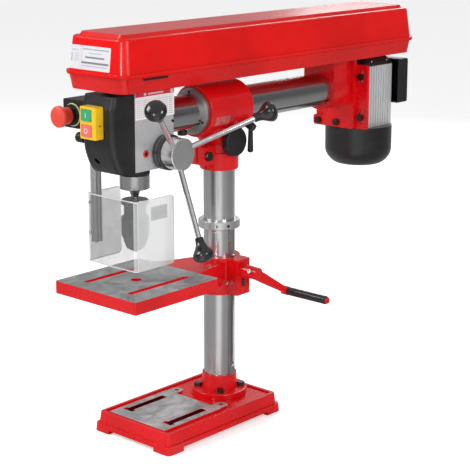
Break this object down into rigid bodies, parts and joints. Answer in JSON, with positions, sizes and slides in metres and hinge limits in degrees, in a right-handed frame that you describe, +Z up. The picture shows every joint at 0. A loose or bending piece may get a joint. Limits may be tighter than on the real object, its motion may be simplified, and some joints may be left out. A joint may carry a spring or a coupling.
{
  "type": "drill press",
  "caption": "Bench radial drill press: cast base, column with rack and crank-raised slotted table, swivelling and tilting ram with geared quill, guard, belt drive and rear motor.",
  "frame": {"origin": "on the bench plane, midway between the two bench bolt holes", "axes": "+Z up, the operator stands at -Y, feed levers on +X, the ram runs along Y"},
  "size_m": [0.3106, 0.8672, 0.762],
  "materials": {
    "red_paint": "gloss",
    "column_steel": "ground",
    "bright_steel": "machined",
    "dark_steel": "blackened",
    "chrome": "polished",
    "cast_alloy": "satin",
    "extruded_alloy": "satin",
    "black_plastic": "satin",
    "black_gloss": "gloss",
    "yellow_plastic": "satin",
    "green_plastic": "satin",
    "red_plastic": "satin",
    "clear_plastic": "clear",
    "belt_rubber": "matt"
  },
  "bodies": {
    "stand": {"base": "red_paint", "column_flange": "red_paint", "flange_bolts": "dark_steel", "column": "column_steel", "rack_collar": "cast_alloy"},
    "rack": {"column_rack": "column_steel"},
    "table": {"table": "red_paint"},
    "table_lock": {"table_lock_lever": "black_plastic"},
    "lift_gear": {"lift_gear": "bright_steel"},
    "crank": {"worm_shaft": "bright_steel", "crank_arm": "red_paint"},
    "crank_grip": {"crank_grip": "black_gloss"},
    "arm": {"arm_bracket": "red_paint", "swivel_clamp_bolt": "dark_steel"},
    "swivel_lock": {"swivel_lock_knob": "black_plastic"},
    "ram_lock": {"ram_lock_lever": "black_plastic"},
    "tilt_sleeve": {"tilt_sleeve": "red_paint", "scale_ring": "cast_alloy"},
    "ram_unit": {"ram": "column_steel", "ram_stop_screw": "dark_steel", "head_casting": "cast_alloy", "head_cover": "black_plastic", "switch_box": "yellow_plastic", "estop_box": "black_plastic", "spring_cap": "black_plastic", "return_spring": "dark_steel", "belt_pan": "red_paint", "drive_belt": "belt_rubber", "motor_bracket": "red_paint", "motor_plate": "red_paint", "motor_bolts": "dark_steel", "motor_housing": "extruded_alloy", "motor_top_cap": "black_plastic", "motor_fan_cover": "black_plastic", "terminal_box": "black_plastic"},
    "start_button": {"start_button": "green_plastic"},
    "stop_button": {"stop_button": "red_plastic"},
    "estop_button": {"estop_button": "red_plastic"},
    "lid": {"belt_lid": "red_paint"},
    "quill": {"quill": "bright_steel", "quill_bearings": "bright_steel"},
    "feed": {"feed_shaft": "bright_steel", "feed_hub": "chrome", "feed_spokes": "chrome", "feed_knobs": "black_gloss"},
    "depth_dial": {"depth_ring": "dark_steel"},
    "spindle": {"spindle": "bright_steel", "chuck_body": "dark_steel"},
    "chuck_sleeve": {"chuck_sleeve": "dark_steel"},
    "jaw_1": {"chuck_jaw_1": "bright_steel"},
    "jaw_2": {"chuck_jaw_2": "bright_steel"},
    "jaw_3": {"chuck_jaw_3": "bright_steel"},
    "spindle_pulley": {"spindle_pulley": "cast_alloy"},
    "motor_rotor": {"motor_rotor": "dark_steel", "motor_fan": "black_plastic", "motor_pulley": "cast_alloy"},
    "guard_pivot": {"guard_holder": "black_plastic"},
    "guard": {"guard_rail": "extruded_alloy", "chuck_guard": "clear_plastic"},
    "guard_knob": {"guard_knob": "black_plastic"}
  },
  "joints": [
    {"name": "table_swing", "type": "hinge", "parent": "stand", "child": "rack", "pos_m": [0, 0.059, 0.3], "axis": [0, 0, 1], "range_deg": [-180, 180]},
    {"name": "table_lift", "type": "slide", "parent": "rack", "child": "table", "axis": [0, 0, -1], "range_m": [-0.015, 0.15]},
    {"name": "table_lock", "type": "hinge", "parent": "table", "child": "table_lock", "pos_m": [-0.02, 0.107, 0.278], "axis": [1, 0, 0], "range_deg": [-30, 60]},
    {"name": "lift_gear_turn", "type": "hinge", "parent": "table", "child": "lift_gear", "pos_m": [0.0475, 0.059, 0.269], "axis": [0, 1, 0], "range_deg": [-75, 645]},
    {"name": "crank_turn", "type": "hinge", "parent": "table", "child": "crank", "pos_m": [0.08, 0.059, 0.292], "axis": [1, 0, 0], "range_deg": [-11500, 1200]},
    {"name": "grip_spin", "type": "hinge", "parent": "crank", "child": "crank_grip", "pos_m": [0.101, 0.13532, 0.24431], "axis": [1, 0, 0], "continuous": true},
    {"name": "arm_swivel", "type": "hinge", "parent": "stand", "child": "arm", "pos_m": [0, 0.059, 0.5], "axis": [0, 0, 1], "range_deg": [-180, 180]},
    {"name": "swivel_lock", "type": "hinge", "parent": "arm", "child": "swivel_lock", "pos_m": [0.04, 0.055, 0.539], "axis": [1, 0, 0], "range_deg": [-90, 180]},
    {"name": "ram_lock", "type": "hinge", "parent": "arm", "child": "ram_lock", "pos_m": [0.05196, 0.084, 0.57], "axis": [0.866, 0, -0.5], "range_deg": [-5, 40]},
    {"name": "head_tilt", "type": "hinge", "parent": "arm", "child": "tilt_sleeve", "pos_m": [0, 0.059, 0.6], "axis": [0, 1, 0], "range_deg": [-45, 45]},
    {"name": "ram_slide", "type": "slide", "parent": "tilt_sleeve", "child": "ram_unit", "axis": [0, -1, 0], "range_m": [-0.01, 0.23]},
    {"name": "start_press", "type": "slide", "parent": "ram_unit", "child": "start_button", "axis": [0, 1, 0], "range_m": [0, 0.003], "stiffness_N_per_m": 400, "springref_m": -0.002},
    {"name": "stop_press", "type": "slide", "parent": "ram_unit", "child": "stop_button", "axis": [0, 1, 0], "range_m": [0, 0.003], "stiffness_N_per_m": 400, "springref_m": -0.002},
    {"name": "estop_press", "type": "slide", "parent": "ram_unit", "child": "estop_button", "axis": [0, 1, 0], "range_m": [0, 0.006]},
    {"name": "lid_open", "type": "hinge", "parent": "ram_unit", "child": "lid", "pos_m": [-0.079, 0.059, 0.691], "axis": [0, -1, 0], "range_deg": [0, 100]},
    {"name": "quill_feed", "type": "slide", "parent": "ram_unit", "child": "quill", "axis": [0, 0, -1], "range_m": [0, 0.05], "stiffness_N_per_m": 700, "springref_m": -0.09},
    {"name": "feed_turn", "type": "hinge", "parent": "ram_unit", "child": "feed", "pos_m": [0.06, -0.1294, 0.546], "axis": [1, 0, 0], "range_deg": [-5, 245]},
    {"name": "depth_set", "type": "hinge", "parent": "feed", "child": "depth_dial", "pos_m": [0.05, -0.1294, 0.546], "axis": [1, 0, 0], "range_deg": [-170, 170]},
    {"name": "spindle_spin", "type": "hinge", "parent": "quill", "child": "spindle", "pos_m": [0, -0.164, 0.5], "axis": [0, 0, 1], "continuous": true},
    {"name": "chuck_turn", "type": "hinge", "parent": "spindle", "child": "chuck_sleeve", "pos_m": [0, -0.164, 0.4], "axis": [0, 0, 1], "range_deg": [0, 2522]},
    {"name": "jaw_1_open", "type": "slide", "parent": "spindle", "child": "jaw_1", "axis": [0, 0.2588, 0.9659], "range_m": [0, 0.022]},
    {"name": "jaw_2_open", "type": "slide", "parent": "spindle", "child": "jaw_2", "axis": [-0.2241, -0.1294, 0.9659], "range_m": [0, 0.022]},
    {"name": "jaw_3_open", "type": "slide", "parent": "spindle", "child": "jaw_3", "axis": [0.2241, -0.1294, 0.9659], "range_m": [0, 0.022]},
    {"name": "pulley_spin", "type": "hinge", "parent": "ram_unit", "child": "spindle_pulley", "pos_m": [0, -0.164, 0.7], "axis": [0, 0, 1], "continuous": true},
    {"name": "motor_spin", "type": "hinge", "parent": "ram_unit", "child": "motor_rotor", "pos_m": [0, 0.496, 0.6], "axis": [0, 0, 1], "continuous": true},
    {"name": "guard_flip", "type": "hinge", "parent": "ram_unit", "child": "guard_pivot", "pos_m": [-0.056, -0.208, 0.566], "axis": [-1, 0, 0], "range_deg": [0, 75]},
    {"name": "guard_height", "type": "slide", "parent": "guard_pivot", "child": "guard", "axis": [0, 0, -1], "range_m": [0, 0.03]},
    {"name": "guard_clamp", "type": "hinge", "parent": "guard_pivot", "child": "guard_knob", "pos_m": [-0.08, -0.208, 0.566], "axis": [1, 0, 0], "range_deg": [-90, 180]}
  ],
  "couplings": [
    {"joint": "lift_gear_turn", "follows": "table_lift", "rad_per_m": 74.074},
    {"joint": "crank_turn", "follows": "table_lift", "rad_per_m": -1333.3},
    {"joint": "feed_turn", "follows": "quill_feed", "rad_per_m": 83.333},
    {"joint": "spindle_spin", "follows": "motor_spin", "ratio": 1.4118},
    {"joint": "pulley_spin", "follows": "motor_spin", "ratio": 1.4118},
    {"joint": "jaw_1_open", "follows": "chuck_turn", "m_per_rad": 0.0005},
    {"joint": "jaw_2_open", "follows": "chuck_turn", "m_per_rad": 0.0005},
    {"joint": "jaw_3_open", "follows": "chuck_turn", "m_per_rad": 0.0005}
  ]
}
